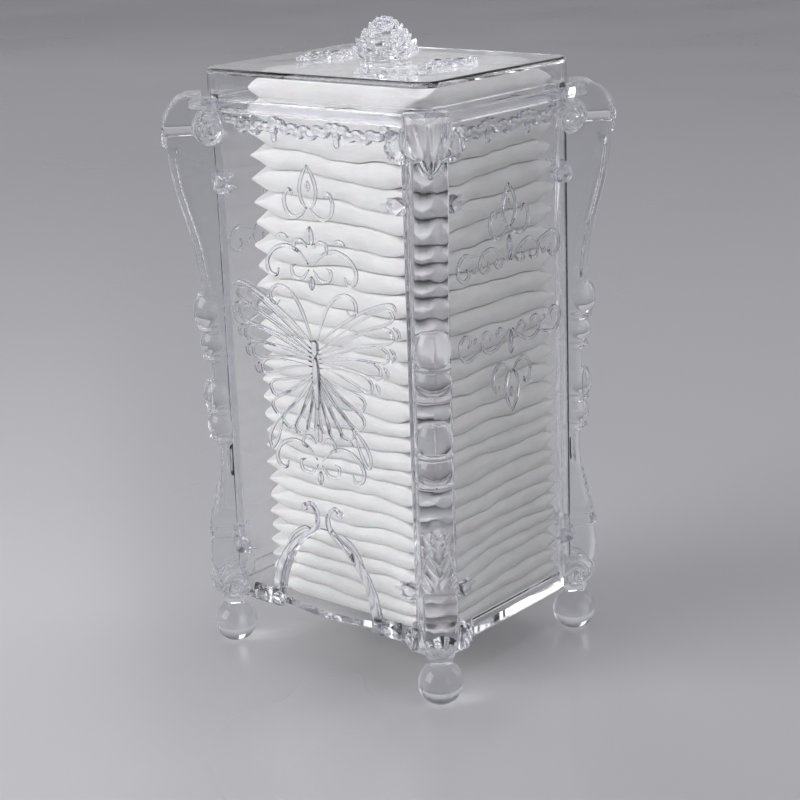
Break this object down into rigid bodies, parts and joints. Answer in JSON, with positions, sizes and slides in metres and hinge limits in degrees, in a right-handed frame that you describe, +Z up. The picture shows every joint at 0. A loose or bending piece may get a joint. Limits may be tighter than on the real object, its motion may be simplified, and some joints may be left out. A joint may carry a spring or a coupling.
{
  "type": "cotton pad holder",
  "caption": "Clear moulded tower that holds a stack of cotton pads, with carved corner posts on ball feet, an arched mouth low in front and a lift-off lid with a rose knob.",
  "frame": {"origin": "on the table, under the middle of the case", "axes": "+Z up, -Y out of the front panel with the arched mouth, +X to the right seen from the front"},
  "size_m": [0.102, 0.0894, 0.1804],
  "materials": {
    "clear_acrylic": "clear polished moulded plastic with a faint violet cast in the thick edges",
    "cotton": "soft white pressed cotton with pinched edges"
  },
  "bodies": {
    "case": {"front_panel": "clear_acrylic", "back_panel": "clear_acrylic", "left_panel": "clear_acrylic", "right_panel": "clear_acrylic", "floor_plate": "clear_acrylic", "top_collar": "clear_acrylic", "corner_post_front_left": "clear_acrylic", "corner_post_front_right": "clear_acrylic", "corner_post_back_left": "clear_acrylic", "corner_post_back_right": "clear_acrylic", "ball_foot_front_left": "clear_acrylic", "ball_foot_front_right": "clear_acrylic", "ball_foot_back_left": "clear_acrylic", "ball_foot_back_right": "clear_acrylic", "cotton_pad_01": "cotton", "cotton_pad_02": "cotton", "cotton_pad_03": "cotton", "cotton_pad_04": "cotton", "cotton_pad_05": "cotton", "cotton_pad_06": "cotton", "cotton_pad_07": "cotton", "cotton_pad_08": "cotton", "cotton_pad_09": "cotton", "cotton_pad_10": "cotton", "cotton_pad_11": "cotton", "cotton_pad_12": "cotton", "cotton_pad_13": "cotton", "cotton_pad_14": "cotton", "cotton_pad_15": "cotton", "cotton_pad_16": "cotton", "cotton_pad_17": "cotton", "cotton_pad_18": "cotton", "cotton_pad_19": "cotton", "cotton_pad_20": "cotton", "cotton_pad_21": "cotton", "cotton_pad_22": "cotton", "cotton_pad_23": "cotton", "cotton_pad_24": "cotton", "cotton_pad_25": "cotton", "cotton_pad_26": "cotton", "cotton_pad_27": "cotton", "cotton_pad_28": "cotton"},
    "lid": {"lid_cover": "clear_acrylic", "lid_rose": "clear_acrylic", "lid_spray_left": "clear_acrylic", "lid_spray_right": "clear_acrylic"}
  },
  "joints": [
    {"name": "lid_lift", "type": "slide", "parent": "case", "child": "lid", "axis": [0, 0, 1], "range_m": [0, 0.03]}
  ]
}
